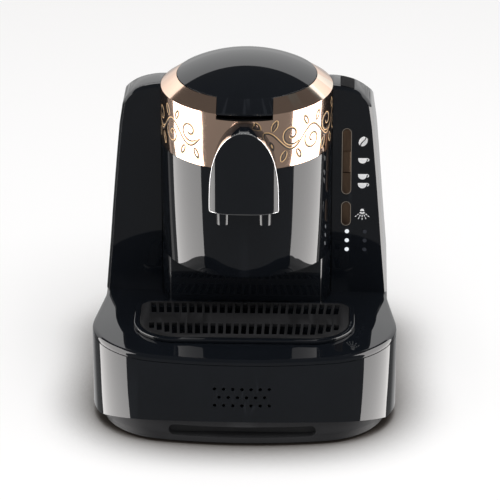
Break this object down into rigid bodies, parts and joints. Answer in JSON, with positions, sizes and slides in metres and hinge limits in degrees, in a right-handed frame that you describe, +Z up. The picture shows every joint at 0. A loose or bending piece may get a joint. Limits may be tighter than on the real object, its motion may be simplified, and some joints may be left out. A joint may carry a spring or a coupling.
{
  "type": "electric turkish coffee maker",
  "caption": "Countertop Turkish coffee maker: a brewing drum with a copper-toned collar over a cup bay, spouts, drip tray, button strip and rear water tank.",
  "frame": {"origin": "on the ground, in the middle of the width and of the depth", "axes": "+Z up, +X to the right as seen by the person in front of it, +Y to the rear; the spouts face -Y"},
  "size_m": [0.2624, 0.275, 0.303],
  "materials": {
    "gloss_black": "polished piano black",
    "satin_black": "fine satin",
    "dark_grey": "fine grain",
    "copper_tone": "metallised in a polished copper tone, engraved",
    "steel": "bright stainless",
    "chrome_edge": "polished",
    "aluminium": "as cast",
    "element_sheath": "dull, heat stained",
    "rubber": "matte",
    "hose": "translucent silicone",
    "smoky_clear": "smoky clear plastic",
    "natural_plastic": "natural, unpainted",
    "coil_red": "lacquered winding in a moulded cover",
    "red_plastic": "moulded",
    "board_green": "lacquered board",
    "light_clear": "frosted, lit from behind"
  },
  "bodies": {
    "machine": {"base_pan": "dark_grey", "feet": "rubber", "base_shell": "gloss_black", "base_cover": "gloss_black", "base_screws": "steel", "left_panel": "gloss_black", "control_panel": "gloss_black", "bay_panel": "gloss_black", "tower_shell": "gloss_black", "casing_screws": "steel", "drum_shell": "gloss_black", "copper_collar": "copper_tone", "collar_liner": "satin_black", "inner_frame": "steel", "brew_pot": "steel", "pot_gasket": "rubber", "heater_plate": "aluminium", "heater_element": "element_sheath", "thermostat": "natural_plastic", "valve_body": "natural_plastic", "valve_coil": "coil_red", "valve_spring": "steel", "brew_tube": "natural_plastic", "pod_cover": "gloss_black", "pod_trim": "chrome_edge", "spout_block": "satin_black", "spouts": "gloss_black", "lid_hinge_pin": "steel", "tank_dock": "satin_black", "pump": "dark_grey", "pump_mounts": "rubber", "inlet_hose": "hose", "feed_hose": "hose", "fill_nozzle": "satin_black", "main_board": "board_green", "terminal_block": "natural_plastic", "cable_gland": "satin_black", "speaker": "satin_black", "ui_board": "board_green", "light_guides": "light_clear", "power_switch": "satin_black"},
    "lid": {"lid": "gloss_black", "lid_liner": "steel", "lid_seal": "rubber"},
    "tank": {"water_tank": "smoky_clear", "tank_hinge_pin": "steel", "tank_valve_spring": "steel", "tank_seal": "rubber"},
    "tank_lid": {"tank_lid": "gloss_black"},
    "tank_valve": {"tank_valve": "red_plastic"},
    "float": {"tank_float": "natural_plastic"},
    "tray": {"drip_tray": "gloss_black"},
    "grille": {"drip_grille": "satin_black"},
    "start_button": {"start_button": "copper_tone"},
    "one_cup_button": {"one_cup_button": "copper_tone"},
    "two_cup_button": {"two_cup_button": "copper_tone"},
    "rinse_button": {"rinse_button": "copper_tone"},
    "power_key": {"power_key": "satin_black"},
    "valve_plunger": {"valve_plunger": "steel"}
  },
  "joints": [
    {"name": "lid_hinge", "type": "hinge", "parent": "machine", "child": "lid", "pos_m": [0, 0.074, 0.276], "axis": [-1, 0, 0], "range_deg": [0, 75]},
    {"name": "tank_lift", "type": "slide", "parent": "machine", "child": "tank", "axis": [0, 0, 1], "range_m": [0, 0.12]},
    {"name": "tank_lid_hinge", "type": "hinge", "parent": "tank", "child": "tank_lid", "pos_m": [0, 0.13575, 0.229], "axis": [-1, 0, 0], "range_deg": [0, 105]},
    {"name": "tank_valve_slide", "type": "slide", "parent": "tank", "child": "tank_valve", "axis": [0, 0, 1], "range_m": [0, 0.003], "stiffness_N_per_m": 60, "springref_m": -0.002, "deforming": ["tank_valve_spring"]},
    {"name": "float_rise", "type": "slide", "parent": "tank", "child": "float", "axis": [0, 0, 1], "range_m": [0, 0.08]},
    {"name": "tray_lift", "type": "slide", "parent": "machine", "child": "tray", "axis": [0, 0, 1], "range_m": [0, 0.024]},
    {"name": "grille_lift", "type": "slide", "parent": "tray", "child": "grille", "axis": [0, 0, 1], "range_m": [0, 0.012]},
    {"name": "start_press", "type": "slide", "parent": "machine", "child": "start_button", "axis": [0, 1, 0], "range_m": [0, 0.0012], "stiffness_N_per_m": 400, "springref_m": -0.0008},
    {"name": "one_cup_press", "type": "slide", "parent": "machine", "child": "one_cup_button", "axis": [0, 1, 0], "range_m": [0, 0.0012], "stiffness_N_per_m": 400, "springref_m": -0.0008},
    {"name": "two_cup_press", "type": "slide", "parent": "machine", "child": "two_cup_button", "axis": [0, 1, 0], "range_m": [0, 0.0012], "stiffness_N_per_m": 400, "springref_m": -0.0008},
    {"name": "rinse_press", "type": "slide", "parent": "machine", "child": "rinse_button", "axis": [0, 1, 0], "range_m": [0, 0.0012], "stiffness_N_per_m": 400, "springref_m": -0.0008},
    {"name": "power_press", "type": "slide", "parent": "machine", "child": "power_key", "axis": [0, 0, -1], "range_m": [0, 0.002], "stiffness_N_per_m": 300, "springref_m": -0.001},
    {"name": "plunger_pull", "type": "slide", "parent": "machine", "child": "valve_plunger", "axis": [0, 0, -1], "range_m": [0, 0.007], "stiffness_N_per_m": 60, "springref_m": -0.004, "deforming": ["valve_spring"]}
  ]
}
